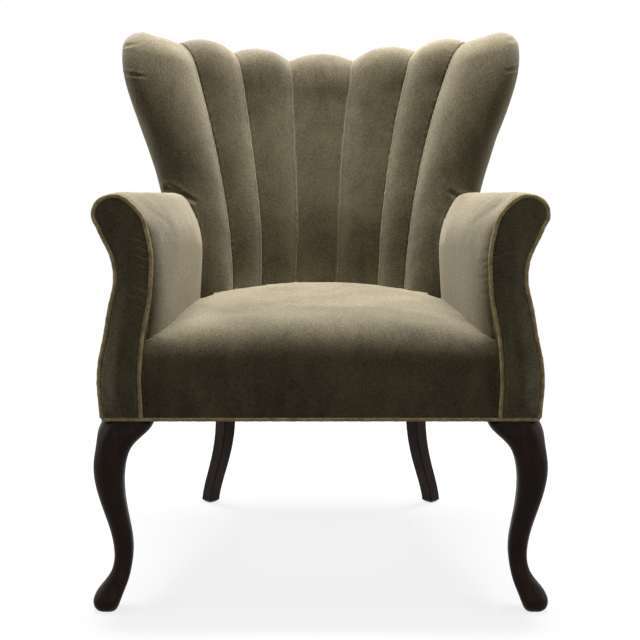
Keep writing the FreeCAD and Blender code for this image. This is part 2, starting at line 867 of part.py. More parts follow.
def channel_section(seam, station):
    level = station_level(station)
    first_angle = seam_angle(seam, level)
    last_angle = seam_angle(seam + 1, level)
    middle_angle = (first_angle + last_angle) / 2
    first, _ = back_place(first_angle, station)
    last, _ = back_place(last_angle, station)
    middle, facing = back_place(middle_angle, station)
    along = last - first
    width = along.Length
    along.normalize()
    first = first + along * (soft_gap / 2)
    last = last - along * (soft_gap / 2)
    chord_middle = (first + last) * 0.5
    # The section's plane holds the chord and the facing direction made square to it
    facing = facing - along * facing.dot(along)
    facing.normalize()
    crown_height = channel_crown * width
    bulge = (middle - chord_middle).dot(facing)
    crown = chord_middle + facing * (crown_height + max(bulge, -least_crown * crown_height))
    kind, amount = station
    side = math.cos(math.radians(amount)) if kind == "crest" else (1.0 if kind == "face" else -1.0)
    spread = channel_depth * math.tan(math.radians((last_angle - first_angle) / 2)) * side
    first_base = first - facing * channel_depth - along * (spread - soft_gap / 2)
    last_base = last - facing * channel_depth + along * (spread - soft_gap / 2)
    face = [line(first_base, first), arc(first, crown, last)]
    return Part.Wire(face + [line(last, last_base), line(last_base, first_base)])


def channel(seam):
    return loft([channel_section(seam, station) for station in channel_stations()])


def round_edge(centre, sideways, out, turn, radius):
    # Point on the rolled edge of a wing, counted from its face round to its rear
    angle = math.radians(turn)
    return centre + (sideways * math.sin(angle) - out * math.cos(angle)) * radius


def wing_section(seam, share, turn, grow):
    # Section of an outer channel that wraps the wing, flat in a tilted plane
    side = -1 if seam == 0 else 1
    rise = math.sin(math.radians(turn))
    half = back_half_thickness * math.cos(math.radians(turn)) + grow
    inner_angle = seam_angle(seam, station_level(("face", share)))
    heights = []
    for angle in (inner_angle, side * wing_angle):
        lift = back_half_thickness * rise * crest_tilt(angle).z
        heights.append(channel_foot + (shoulder(angle) - channel_foot) * share + lift)
    if turn > 0:
        heights = [height + grow for height in heights]
    edge_angle = side * wing_edge_angle(heights[1])
    seam_middle = back_point(inner_angle, heights[0], 0)
    edge_middle = back_point(edge_angle, heights[1], 0)
    slope = (heights[1] - heights[0]) / (edge_middle.x - seam_middle.x)

    def lay(x, y):
        return Vec(x, y, heights[0] + slope * (x - seam_middle.x))

    def at_seam(offset):
        # The seam's plan angle changes with the level, so the point is found in a few steps
        clearance = math.degrees((soft_gap / 2 - grow) / back_radius(heights[0]))
        point = seam_middle
        for _ in range(3):
            reached = (point.z - channel_foot) / (shoulder(inner_angle) - channel_foot)
            angle = seam_angle(seam, station_level(("face", min(reached, 1)))) + side * clearance
            point = back_point(angle, point.z, offset)
            point = lay(point.x, point.y)
        return point

    def at(angle, offset, pick):
        point = back_point(angle, heights[pick], offset)
        return lay(point.x, point.y)

    out = outward(edge_angle)
    sideways = Vec(side * out.y, -side * out.x, 0)
    entry = round_edge(edge_middle, sideways, out, wing_edge_entry, half)
    tip = round_edge(edge_middle, sideways, out, (wing_edge_entry + 180) / 2, half)
    leave = edge_middle + out * half
    entry, tip, leave = [lay(point.x, point.y) for point in (entry, tip, leave)]
    between = (inner_angle + edge_angle) / 2
    width = math.radians(abs(edge_angle - inner_angle)) * back_radius(heights[1])
    crown = at(between, -half - channel_crown * width * math.cos(math.radians(turn)), 0)
    if share < 1:
        _, corner_half, corner_depth, _ = outside_at(heights[1])
        corner = lay(side * (corner_half - frame_inset), corner_depth - cover_thickness)
    else:
        corner = at(edge_angle - side * wing_rear_angle, half, 1)
    edges = [arc(at_seam(-half), crown, entry), arc(entry, tip, leave), line(leave, corner)]
    return Part.Wire(edges + [line(corner, at_seam(half)), line(at_seam(half), at_seam(-half))])


def wing_channel(seam, grow=0.0):
    body = loft([wing_section(seam, share, 0.0, grow) for share in face_shares])
    dome = loft([wing_section(seam, 1.0, turn, grow) for turn in dome_turns])
    return joined([body, dome])


# Covers
def outside_shell(grow_out=0.0, grow_in=0.0, grow_end=0.0, grow_top=0.0):
    sections = []
    for level, half, corner_depth, middle_depth in outside_levels:
        far = [Vec(-half - grow_end, corner_depth + grow_out, level), Vec(0, middle_depth + grow_out, level),
               Vec(half + grow_end, corner_depth + grow_out, level)]
        back = cover_thickness + grow_in
        narrowing = 1 - back / (4 * half)
        near = [Vec(point.x * narrowing, point.y - back - grow_out, level) for point in far[::-1]]
        sections.append(Part.Wire([arc(*far), line(far[2], near[0]), arc(*near), line(near[2], far[0])]))
    return loft(sections).common(under_crest(channel_overhang + soft_gap - grow_top, back_half_thickness))


def before_corner():
    # Everything in front of the back cover's side edges
    inset = cover_thickness + soft_gap
    edge = [(row[2] - inset, row[0]) for row in outside_levels]
    outline = [(0, 0), (edge[0][0], 0)] + edge + [(0, edge[-1][1])]
    points = [Vec(-base_depth, depth, level) for depth, level in outline]
    return Part.Face(Part.makePolygon(points + points[:1])).extrude(Vec(2 * base_depth, 0, 0))


def base_welt():
    # Inset outline first, then its corners are rounded by moving it back out
    inset = base_welt_radius + base_corner_radius
    across = inset * math.hypot(1, side_slope)
    rear_depth = base_depth - inset
    middle_depth = base_depth + back_bow
    front = [Vec(side * (side_at(inset) - across), inset, welt_level) for side in (-1, 1)]
    rear = [Vec(side * (side_at(rear_depth) - across), rear_depth, welt_level) for side in (1, -1)]
    edges = [line(front[0], front[1]), line(front[1], rear[0])]
    edges += [arc(rear[0], Vec(0, middle_depth - inset, welt_level), rear[1]), line(rear[1], front[0])]
    return tube(Part.Wire(edges).makeOffset2D(base_corner_radius), base_welt_radius)


# Seat
def seat_section(depth, side_level, crown_level):
    half = apron_half + cover_thickness
    corners = [Vec(-half, depth, seat_bottom), Vec(-half, depth, side_level)]
    corners += [Vec(half, depth, side_level), Vec(half, depth, seat_bottom)]
    return Part.Wire([
        line(corners[0], corners[1]),
        arc(corners[1], Vec(0, depth, crown_level), corners[2]),
        line(corners[2], corners[3]),
        line(corners[3], corners[0]),
    ])


def between_arms(level, height, gap, last):
    # Room between the two inside arms, behind the apron
    first = apron_front + apron_thickness
    corners = []
    for side, depth in ((-1, first), (1, first), (1, last), (-1, last)):
        corners.append((side * (arm_inside(depth) - gap), depth))
    return prism(corners, level, height)


def behind_seams():
    # Everything behind the seams of the back
    levels = (leg_height, high_level)
    return cone_band(-behind_angle, behind_angle, levels, -back_half_thickness - soft_gap / 2, base_depth)


def seat_pad(back):
    sections = []
    for index, (side_level, crown_level) in enumerate(seat_profile):
        depth = apron_front + index * seat_profile_step
        sections.append(seat_section(depth, side_level, crown_level))
    cushion = loft(sections)
    front_top = [edge for edge in cushion.Edges if edge.BoundBox.YMax < apron_front + soft_gap
                 and edge.BoundBox.ZMin > seat_profile[0][0] - soft_gap]
    cushion = cushion.makeFillet(seat_edge_round, front_top)
    room_height = 2 * (seat_profile[0][0] - seat_bottom)
    front_room = Part.makeBox(2 * apron_half, apron_front + apron_thickness, room_height,
                              Vec(-apron_half, 0, seat_bottom))
    room = front_room.fuse(between_arms(seat_bottom, room_height, soft_gap, base_depth))
    apron = Part.makeBox(2 * apron_half, apron_thickness, seat_bottom - cover_bottom + soft_gap,
                         Vec(-apron_half, apron_front, cover_bottom))
    return without(joined([cushion.common(room), apron]), back + [behind_seams()])


def seat_burlap():
    # Ends in front of the back's padding
    sheet = between_arms(burlap_level, sheet_thickness, cover_gap, base_depth)
    depth = back_centre(burlap_level)
    reach = back_radius(burlap_level) - back_half_thickness - 2 * channel_depth
    behind = Part.makeBox(2 * base_depth, base_depth, 2 * rail_height, Vec(-base_depth, depth, leg_height))
    round_room = Part.makeCylinder(reach, 2 * rail_height, Vec(0, depth, leg_height))
    return sheet.cut(behind.cut(round_room))


def spring_path(x):
    # Flat zigzag of straight bars and half turns, from the front rail to the back rail
    first = front_rail_rear - clip_size[1] / 2
    last = back_rail_front + clip_size[1] / 2
    turns = 2 * int((last - first) / (4 * spring_bend))
    bend = (last - first) / turns / 2
    edges = []
    side = -1
    for turn in range(turns + 1):
        depth = first + 2 * bend * turn
        start = Vec(x + side * spring_half_width, depth, spring_level)
        end = Vec(x - side * spring_half_width, depth, spring_level)
        edges.append(line(start, end))
        if turn < turns:
            middle = end + Vec(-side * bend, bend, 0)
            edges.append(arc(end, middle, end + Vec(0, 2 * bend, 0)))
        side = -side
    return Part.Wire(edges), (first, last)


def spring_clip(x, depth):
    width, length = clip_size
    height = spring_level + spring_wire / 2 + clip_wall - rail_top
    block = Part.makeBox(width, length, height, Vec(x - width / 2, depth - length / 2, rail_top))
    start = Vec(x - width, depth, spring_level)
    return block.cut(Part.makeCylinder(spring_wire / 2 + bore_gap, 2 * width, start, Vec(1, 0, 0)))


def springs_and_clips():
    springs, clips = [], []
    for index in range(spring_count):
        x = (index - (spring_count - 1) / 2) * spring_spacing
        path, ends = spring_path(x)
        springs.append(tube(path, spring_wire / 2))
        clips += [spring_clip(x, depth) for depth in ends]
    return springs, clips


def dust_cover():
    inset = frame_inset + rail_thickness / 2
    front = front_rail_rear - rail_thickness / 2
    rear = back_rail_rear - rail_thickness / 2
    corners = []
    for side, depth in ((-1, front), (1, front), (1, rear), (-1, rear)):
        corners.append((side * (side_at(depth) - inset), depth))
    sheet = prism(corners, leg_height - dust_cover_thickness, dust_cover_thickness)
    knee = front_leg_profile[-1][2] + fit_gap
    heel = rear_leg_side * math.sqrt(0.5) + fit_gap
    _, rear_x, rear_y = rear_leg_line[-1]
    tall = 4 * dust_cover_thickness
    level = leg_height - 2 * dust_cover_thickness
    cuts = [Part.makeBox(knee, knee, tall, Vec(-front_leg_corner, 0, level))]
    cuts.append(Part.makeBox(2 * heel, 2 * heel, tall, Vec(-rear_x - heel, rear_y - heel, level)))
    return without(sheet, both(cuts))


# Frame pieces, with the holes for their fasteners
fasteners = screws(bore_gap) + leg_bolts(bore_gap)
keep_pair("front_leg", front_leg())
keep_pair("rear_leg", rear_leg().cut(fasteners))
keep("front_seat_rail", front_rail.cut(fasteners))
keep_pair("side_seat_rail", side_rail().cut(fasteners))
keep("back_seat_rail", back_rail().cut(fasteners))
blocks = both([front_block(), rear_block()])
keep("corner_blocks", Part.makeCompound([block.cut(fasteners) for block in blocks]))
keep("corner_block_screws", Part.makeCompound(screws()))
keep("leg_bolts", Part.makeCompound(leg_bolts()))
keep_pair("arm_post", arm_post())
keep_pair("arm_top_rail", arm_top_rail().cut(back_post(bore_gap)))
keep_pair("arm_stuffing_rail", stuffing_rail())
keep_pair("back_post", back_post())
keep("back_top_rail", top_rail())
keep("back_lower_rail", lower_rail())
keep_pair("wing_board", wing_board())
springs, clips = springs_and_clips()
keep("seat_springs", Part.makeCompound(springs))
keep("spring_clips", Part.makeCompound(clips))
keep("seat_burlap", seat_burlap())
keep("back_burlap", cone_band(-burlap_angle, burlap_angle, (channel_foot, shoulder_height),
                              burlap_offset, burlap_offset + burlap_thickness))
keep("back_webbing", Part.makeCompound(back_webbing()))

# Padding, cut round the frame that it covers
last_seam = len(seam_angles) - 1
rolls = [channel(seam) for seam in range(last_seam)]
arm_frame = [back_post(fit_gap), arm_top_rail(fit_gap)]
wing_frame = arm_frame + [stuffing_rail(fit_gap), wing_board(fit_gap),
                          outside_arm(-4 * cover_thickness, cover_thickness + cover_gap)]
back_frame = [top_rail(), lower_rail(), outside_shell(4 * cover_thickness, cover_gap, cover_gap, cover_gap)]
apron_room = Part.makeBox(2 * apron_half + soft_gap, apron_front + apron_thickness + soft_gap,
                          seat_profile[0][1] - cover_bottom, Vec(-apron_half - soft_gap / 2, 0, cover_bottom))
wing_rooms = []
for side, seam, number in (("left", 0, 1), ("right", last_seam, last_seam + 2)):
    wing_rooms.append(wing_channel(seam, soft_gap))
    wing_tools, arm_tools, pad = wing_frame, arm_frame, arm_pad()
    if side == "right":
        wing_tools, arm_tools = [[mirrored(tool) for tool in tools] for tools in (wing_frame, arm_frame)]
        pad = mirrored(pad)
    keep("back_channel_" + str(number), without(wing_channel(seam), wing_tools + back_frame))
    keep("inside_arm_pad_" + side, without(pad, [wing_rooms[-1], apron_room] + arm_tools))
for number, roll in enumerate(rolls, 2):
    keep("back_channel_" + str(number), roll)
keep("seat_pad", seat_pad(rolls + wing_rooms))

# Covers and welts
keep_pair("arm_front_panel", arm_panel())
keep_pair("arm_welt", arm_welt())
keep_pair("outside_arm", without(outside_arm().common(before_corner()), [outside_shell(0, soft_gap)]))
keep("outside_back", without(outside_shell(), rolls))
keep("base_welt", base_welt())
keep("dust_cover", dust_cover())

# The chair is moved so that the middle of its depth lies over the origin
outer_nodes = ("front_leg", "rear_leg", "back_channel")
outermost = [shape for name, shape in nodes.items() if name.startswith(outer_nodes)]
whole = Part.makeCompound(outermost + [nodes["outside_back"]]).optimalBoundingBox(False, False)
shift = Vec(0, -(whole.YMin + whole.YMax) / 2, -whole.ZMin)
for name, shape in nodes.items():
    shape.translate(shift)
    shape.exportStep("parts/" + name + ".step")
    volume = round(shape.Volume / 1000, 2)
    print(name, "solids", len(shape.Solids), "valid", shape.isValid(), "volume cm3", volume)
print("depths moved by", round(shift.y, 3), "and levels by", round(shift.z, 3))
print("width", round(whole.XLength, 1), "depth", round(whole.YLength, 1), "height", round(whole.ZLength, 1))
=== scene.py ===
import bpy
import bmesh
import json
import math
import numpy as np
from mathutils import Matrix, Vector
from mathutils.bvhtree import BVHTree


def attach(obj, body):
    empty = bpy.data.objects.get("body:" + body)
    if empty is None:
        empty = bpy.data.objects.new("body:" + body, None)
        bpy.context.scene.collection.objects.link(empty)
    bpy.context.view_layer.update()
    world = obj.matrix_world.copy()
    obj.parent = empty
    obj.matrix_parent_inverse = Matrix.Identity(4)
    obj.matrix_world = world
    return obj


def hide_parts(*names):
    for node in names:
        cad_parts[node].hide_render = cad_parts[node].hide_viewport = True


# Reading chair: fanned channel back, rolled arms, tight seat, piping and dark legs

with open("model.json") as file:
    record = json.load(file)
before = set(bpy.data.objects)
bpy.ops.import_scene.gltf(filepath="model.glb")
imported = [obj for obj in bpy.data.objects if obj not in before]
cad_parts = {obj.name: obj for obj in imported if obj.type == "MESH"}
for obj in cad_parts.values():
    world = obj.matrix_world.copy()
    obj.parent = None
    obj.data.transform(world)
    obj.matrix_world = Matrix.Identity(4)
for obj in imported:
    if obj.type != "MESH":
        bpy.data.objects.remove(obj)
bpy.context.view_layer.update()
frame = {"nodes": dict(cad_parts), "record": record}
nodes = frame["nodes"]
subparts = frame["record"]["subparts"]
scene = bpy.context.scene
print("frame loaded:", len(nodes), "nodes")


# Shader maths

class Signal:
    # one socket of a node tree, with arithmetic on it
    def __init__(self, shader, socket):
        self.shader = shader
        self.socket = socket

    def maths(self, operation, first, second):
        return self.shader.value("ShaderNodeMath", {"operation": operation}, {0: first, 1: second})

    def __add__(self, other):
        return self.maths("ADD", self, other)

    def __mul__(self, other):
        return self.maths("MULTIPLY", self, other)

    def __pow__(self, other):
        return self.maths("POWER", self, other)

    def larger(self, other):
        return self.maths("MAXIMUM", self, other)

    __radd__ = __add__
    __rmul__ = __mul__


class Shader:
    # the node tree of a material or a world, under construction
    def __init__(self, owner):
        owner.use_nodes = True
        self.owner = owner
        self.tree = owner.node_tree
        self.tree.nodes.clear()

    def node(self, kind, settings=None, inputs=None):
        made = self.tree.nodes.new(kind)
        for key, value in (settings or {}).items():
            setattr(made, key, value)
        for key, value in (inputs or {}).items():
            if isinstance(value, Signal):
                self.tree.links.new(value.socket, made.inputs[key])
            else:
                made.inputs[key].default_value = value
        return made

    def value(self, kind, settings=None, inputs=None, output=0):
        return Signal(self, self.node(kind, settings, inputs).outputs[output])

    def place(self, scale=(1, 1, 1)):
        coordinates = self.value("ShaderNodeTexCoord", output="Object")
        return self.value("ShaderNodeMapping", None, {"Vector": coordinates, "Scale": scale})

    def noise(self, where, scale, detail=2.0, roughness=0.5, distortion=0.0):
        inputs = {"Vector": where, "Scale": scale, "Detail": detail, "Roughness": roughness,
                  "Distortion": distortion}
        return self.value("ShaderNodeTexNoise", None, inputs)

    def wave(self, direction, scale, distortion):
        return self.value("ShaderNodeTexWave", {"bands_direction": direction},
                          {"Vector": self.place(), "Scale": scale, "Distortion": distortion})

    def spread(self, signal, low, high, toLow=0.0, toHigh=1.0):
        return self.value("ShaderNodeMapRange", {"interpolation_type": "SMOOTHSTEP"},
                          {"Value": signal, 1: low, 2: high, 3: toLow, 4: toHigh})

    def mix(self, share, first, second):
        return self.value("ShaderNodeMix", {"data_type": "RGBA"}, {0: share, 6: first, 7: second},
                          output=2)

    def mixShaders(self, share, first, second):
        return self.value("ShaderNodeMixShader", None, {0: share, 1: first, 2: second})

    def bump(self, height, strength, distance):
        return self.value("ShaderNodeBump", None,
                          {"Height": height, "Strength": strength, "Distance": distance})

    def principled(self, inputs):
        return self.value("ShaderNodeBsdfPrincipled", None, inputs)

    def material(self, surface):
        self.node("ShaderNodeOutputMaterial", None, {"Surface": surface})
        return self.owner


def newShader(name):
    return Shader(bpy.data.materials.new(name))


def paint(red, green, blue):
    # a colour from its 0 to 255 screen values
    def linear(value):
        value = value / 255
        return value / 12.92 if value < 0.04045 else ((value + 0.055) / 1.055) ** 2.4
    return (linear(red), linear(green), linear(blue), 1.0)


# Materials: each noise has its scale, detail, roughness and distortion, and edges are where a mask starts
# and ends

velvetLook = {
    # deep and full lie between the threads of the pile, pale ones are flecks, and the last colours and
    # settings make a pale painted sheen, mixed in where the surface is seen from the side
    "deep": paint(55, 49, 34),
    "full": paint(106, 96, 70),
    "pale": paint(140, 129, 100),
    "paintedSheenDeep": paint(182, 169, 141),
    "paintedSheenPale": paint(222, 211, 186),
    "specks": (360.0, 3.0, 0.7),
    "strokes": (26.0, 3.0, 0.6, 0.6),
    "strokeHeight": 0.45,
    "clouds": (7.0, 2.0, 0.5, 0.4),
    "speckWeight": 0.55,
    "strokeWeight": 0.26,
    "cloudWeight": 0.19,
    "toneEdges": (0.34, 0.66),
    "flecks": (684.0, 2.0, 0.6),
    "fleckEdges": (0.60, 0.76),
    "fleckShare": 0.4,
    "pile": (1400.0, 2.0, 0.6),
    "pileWeight": 0.6,
    "speckDepth": 0.4,
    "napStrength": 0.35,
    "napDepth": 0.0007,
    "roughness": 0.92,
    "gloss": 0.1,
    "sheen": 0.65,
    "sheenRoughness": 0.5,
    "sheenTint": paint(255, 245, 222),
    "paintedSheenEdges": (0.38, 0.62),
    "paintedSheenRoughness": 1.0,
    "paintedSheenPower": 1.5,
    "paintedSheenShare": 0.55,
    "paintedSheenTone": 0.5,
    "paintedSheenClouds": 0.9,
    "paintedSheenLeast": 0.3,
}


def velvet():
    # dark between the threads, with a pale painted sheen mixed in more where the surface is seen from the
    # side
    look = velvetLook
    shader = newShader("velvet")
    plain = shader.place()
    hanging = shader.place(scale=(1, 1, look["strokeHeight"]))
    specks = shader.noise(plain, *look["specks"])
    strokes = shader.noise(hanging, *look["strokes"])
    clouds = shader.noise(plain, *look["clouds"])
    blend = specks * look["speckWeight"] + strokes * look["strokeWeight"] + clouds * look["cloudWeight"]
    tone = shader.spread(blend, *look["toneEdges"])
    body = shader.mix(tone, look["deep"], look["full"])
    flecks = shader.spread(shader.noise(plain, *look["flecks"]), *look["fleckEdges"])
    colour = shader.mix(flecks * look["fleckShare"], body, look["pale"])
    pile = shader.noise(plain, *look["pile"])
    nap = pile * look["pileWeight"] + specks * look["speckDepth"]
    rough = shader.bump(nap, look["napStrength"], look["napDepth"])
    between = shader.principled({
        "Base Color": colour, "Roughness": look["roughness"], "Specular IOR Level": look["gloss"],
        "Normal": rough, "Sheen Weight": look["sheen"], "Sheen Roughness": look["sheenRoughness"],
        "Sheen Tint": look["sheenTint"],
    })
    # painted sheen: a pale copy of the velvet, mixed in by how far the surface is turned from the viewer,
    # with random patches
    speckled = shader.spread(specks, *look["paintedSheenEdges"])
    paintedSheen = shader.principled({
        "Base Color": shader.mix(speckled, look["paintedSheenDeep"], look["paintedSheenPale"]),
        "Roughness": look["paintedSheenRoughness"], "Specular IOR Level": 0.0, "Normal": rough,
    })
    turned = shader.value("ShaderNodeLayerWeight", None, {"Blend": 0.5}, output="Facing")
    paintedSheenPatches = tone * look["paintedSheenTone"] + clouds * look["paintedSheenClouds"] + look["paintedSheenLeast"]
    share = turned ** look["paintedSheenPower"] * (look["paintedSheenShare"] * paintedSheenPatches)
    return shader.material(shader.mixShaders(share, between, paintedSheen))


# the piping's deep and pale colours are the velvet painted paler and warmer: painted sheen of the rounded
# cord
pipingLook = {
    "deep": paint(140, 121, 82),
    "pale": paint(208, 186, 136),
    "grain": (620.0, 3.0, 0.7),
    "grainWeight": 0.6,
    "patches": (60.0, 2.0, 0.5),
    "patchWeight": 0.4,
    "edges": (0.38, 0.62),
    "roughness": 0.85,
    "gloss": 0.2,
    "bumpStrength": 0.6,
    "bumpDepth": 0.0008,
    "sheen": 0.6,
    "sheenRoughness": 0.4,
    "sheenTint": paint(236, 222, 190),
}


def piping():
    look = pipingLook
    shader = newShader("piping")
    plain = shader.place()
    grain = shader.noise(plain, *look["grain"])
    patches = shader.noise(plain, *look["patches"])
    tone = shader.spread(grain * look["grainWeight"] + patches * look["patchWeight"], *look["edges"])
    return shader.material(shader.principled({
        "Base Color": shader.mix(tone, look["deep"], look["pale"]), "Roughness": look["roughness"],
        "Specular IOR Level": look["gloss"],
        "Normal": shader.bump(grain, look["bumpStrength"], look["bumpDepth"]),
        "Sheen Weight": look["sheen"], "Sheen Roughness": look["sheenRoughness"],
        "Sheen Tint": look["sheenTint"],
    }))


legLook = {
    "deep": paint(17, 10, 6),
    "pale": paint(47, 29, 18),
    "waves": (60.0, 4.0, 0.6, 0.8),
    "waveHeight": 0.12,
    "waveWeight": 0.7,
    "pores": (520.0, 2.0, 0.7),
    "poreHeight": 0.05,
    "poreWeight": 0.3,
    "edges": (0.34, 0.66),
    "worn": (34.0, 3.0, 0.6),
    "wornEdges": (0.3, 0.7),
    "roughness": (0.34, 0.5),
    "gloss": 0.09,
    "bumpStrength": 0.12,
    "bumpDepth": 0.0004,
}


def darkWood():
    # stained, with the grain up the leg
    look = legLook
    shader = newShader("darkWood")
    waves = shader.noise(shader.place(scale=(1, 1, look["waveHeight"])), *look["waves"])
    pores = shader.noise(shader.place(scale=(1, 1, look["poreHeight"])), *look["pores"])
    grain = shader.spread(waves * look["waveWeight"] + pores * look["poreWeight"], *look["edges"])
    worn = shader.noise(shader.place(), *look["worn"])
    return shader.material(shader.principled({
        "Base Color": shader.mix(grain, look["deep"], look["pale"]),
        "Roughness": shader.spread(worn, *look["wornEdges"], *look["roughness"]),
        "Specular IOR Level": look["gloss"],
        "Normal": shader.bump(pores, look["bumpStrength"], look["bumpDepth"]),
    }))


frameLook = {
    "deep": paint(176, 138, 92),
    "pale": paint(212, 178, 130),
    "rings": (42.0, 4.0, 0.6, 1.2),
    "ringLength": 0.25,
    "edges": (0.35, 0.65),
    "roughness": 0.62,
    "bumpStrength": 0.15,
    "bumpDepth": 0.0005,
}


def frameWood():
    look = frameLook
    shader = newShader("frameWood")
    rings = shader.noise(shader.place(scale=(look["ringLength"], 1, 1)), *look["rings"])
    colour = shader.mix(shader.spread(rings, *look["edges"]), look["deep"], look["pale"])
    return shader.material(shader.principled({
        "Base Color": colour, "Roughness": look["roughness"],
        "Normal": shader.bump(rings, look["bumpStrength"], look["bumpDepth"]),
    }))


steelLook = {
    "deep": paint(150, 150, 152),
    "pale": paint(196, 196, 198),
    "drawn": (180.0, 2.0),
    "edges": (0.3, 0.7),
    "roughness": (0.3, 0.45),
}


def steel():
    look = steelLook
    shader = newShader("steel")
    drawn = shader.noise(shader.place(), *look["drawn"])
    return shader.material(shader.principled({
        "Base Color": shader.mix(drawn, look["deep"], look["pale"]), "Metallic": 1.0,
        "Roughness": shader.spread(drawn, *look["edges"], *look["roughness"]),
    }))


burlapLook = {
    "deep": paint(118, 92, 58),
    "pale": paint(188, 156, 108),
    "threads": (90.0, 1.5),
    "threadShare": 0.5,
    "roughness": 0.95,
    "bumpStrength": 0.5,
    "bumpDepth": 0.0008,
}


def burlap():
    look = burlapLook
    shader = newShader("burlap")
    across = shader.wave("X", *look["threads"])
    along = shader.wave("Z", *look["threads"])
    weave = across * look["threadShare"] + along * look["threadShare"]
    return shader.material(shader.principled({
        "Base Color": shader.mix(weave, look["deep"], look["pale"]), "Roughness": look["roughness"],
        "Normal": shader.bump(weave, look["bumpStrength"], look["bumpDepth"]),
    }))


liningLook = {
    "deep": paint(16, 16, 17),
    "pale": paint(40, 40, 42),
    "threads": (900.0, 2.0),
    "threadLength": 0.2,
    "roughness": 0.95,
    "bumpStrength": 0.3,
    "bumpDepth": 0.0003,
}


def lining():
    look = liningLook
    shader = newShader("lining")
    threads = shader.noise(shader.place(scale=(1, look["threadLength"], 1)), *look["threads"])
    return shader.material(shader.principled({
        "Base Color": shader.mix(threads, look["deep"], look["pale"]), "Roughness": look["roughness"],
        "Normal": shader.bump(threads, look["bumpStrength"], look["bumpDepth"]),
    }))


finishes = {
    "velvet": velvet(), "welt_cord": piping(), "dark_wood": darkWood(), "frame_wood": frameWood(),
    "steel": steel(), "burlap": burlap(), "dust_cloth": lining(),
}
for part in subparts:
    mesh = nodes[part["node"]].data
    mesh.materials.clear()
    mesh.materials.append(finishes[part["material_slot"]])
print("materials made:", len(finishes))


# Mesh tools

mergeDistance = 0.00001
tiny = 1e-9


def points(mesh):
    found = np.empty(len(mesh.vertices) * 3, np.float32)
    mesh.vertices.foreach_get("co", found)
    return found.reshape(-1, 3).astype(float)


def normals(mesh):
    found = np.empty(len(mesh.vertices) * 3, np.float32)
    mesh.vertex_normals.foreach_get("vector", found)
    return found.reshape(-1, 3).astype(float)


def setPoints(mesh, where):
    mesh.vertices.foreach_set("co", where.astype(np.float32).ravel())
    mesh.update()


def smoothStep(values, low, high):
    share = np.clip((values - low) / (high - low), 0, 1)
    return share * share * (3 - 2 * share)


def cadCopy(node, name):
    # the node's mesh with its doubles merged, as a new object
    mesh = nodes[node].data.copy()
    mesh.name = name
    work = bmesh.new()
    work.from_mesh(mesh)
    bmesh.ops.remove_doubles(work, verts=work.verts, dist=mergeDistance)
    work.to_mesh(mesh)
    work.free()
    piece = bpy.data.objects.new(name, mesh)
    scene.collection.objects.link(piece)
    return piece


def applied(piece):
    # the object's modifiers become its mesh
    graph = bpy.context.evaluated_depsgraph_get()
    mesh = bpy.data.meshes.new_from_object(piece.evaluated_get(graph), depsgraph=graph)
    piece.modifiers.clear()
    old = piece.data
    piece.data = mesh
    bpy.data.meshes.remove(old)
    mesh.name = piece.name


def soften(piece, passes):
    smooth = piece.modifiers.new("Smooth", "SMOOTH")
    smooth.factor = 0.5
    smooth.iterations = passes
    applied(piece)


def blurred(piece, values, passes):
    # each vertex takes the mean of itself and its neighbours, again and again
    ends = np.empty(len(piece.data.edges) * 2, np.int32)
    piece.data.edges.foreach_get("vertices", ends)
    first, second = ends.reshape(-1, 2).T
    counts = 1 + np.bincount(ends, minlength=len(values))
    for step in range(passes):
        total = values.copy()
        for column in range(values.shape[1]):
            total[:, column] += np.bincount(first, values[second, column], len(values))
            total[:, column] += np.bincount(second, values[first, column], len(values))
        values = total / counts[:, None]
    return values


def remeshed(piece, voxel, passes):
    remesh = piece.modifiers.new("Remesh", "REMESH")
    remesh.mode = "VOXEL"
    remesh.voxel_size = voxel
    applied(piece)
    soften(piece, passes)


def subdivided(piece):
    smooth = piece.modifiers.new("Subdivision", "SUBSURF")
    smooth.levels = 1
    smooth.render_levels = 1
    applied(piece)


def finished(piece, node, slot):
    # takes the place of its CAD node
    piece.data.shade_smooth()
    piece.data.materials.clear()
    piece.data.materials.append(finishes[slot])
    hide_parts(node)
    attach(piece, "root")


graph = bpy.context.evaluated_depsgraph_get()
trees = {node: BVHTree.FromObject(found, graph) for node, found in nodes.items()}
sewn = {part["node"] for part in subparts if part["material_slot"] in ("velvet", "welt_cord")}
welts = [node for node in nodes if "welt" in node]


def clearance(piece, node, others, limit):
    # distance from each vertex to the nearest of the other solids, up to the limit
    low = Vector(piece.bound_box[0]) - Vector((limit, limit, limit))
    high = Vector(piece.bound_box[6]) + Vector((limit, limit, limit))
    near = []
    for other in others:
        first, last = Vector(nodes[other].bound_box[0]), Vector(nodes[other].bound_box[6])
        if other != node and all(last[axis] > low[axis] and first[axis] < high[axis] for axis in range(3)):
            near.append(trees[other])
    distances = np.full(len(piece.data.vertices), limit)
    for index, vertex in enumerate(piece.data.vertices):
        for tree in near:
            distance = tree.find_nearest(vertex.co, distances[index])[3]
            if distance is not None:
                distances[index] = distance
    return distances


def nearestOn(node, where):
    # the nearest points of the node's surface
    return np.array([trees[node].find_nearest(Vector(point))[0] for point in where])


# Pads: covers blown up by their stuffing and held at the seams

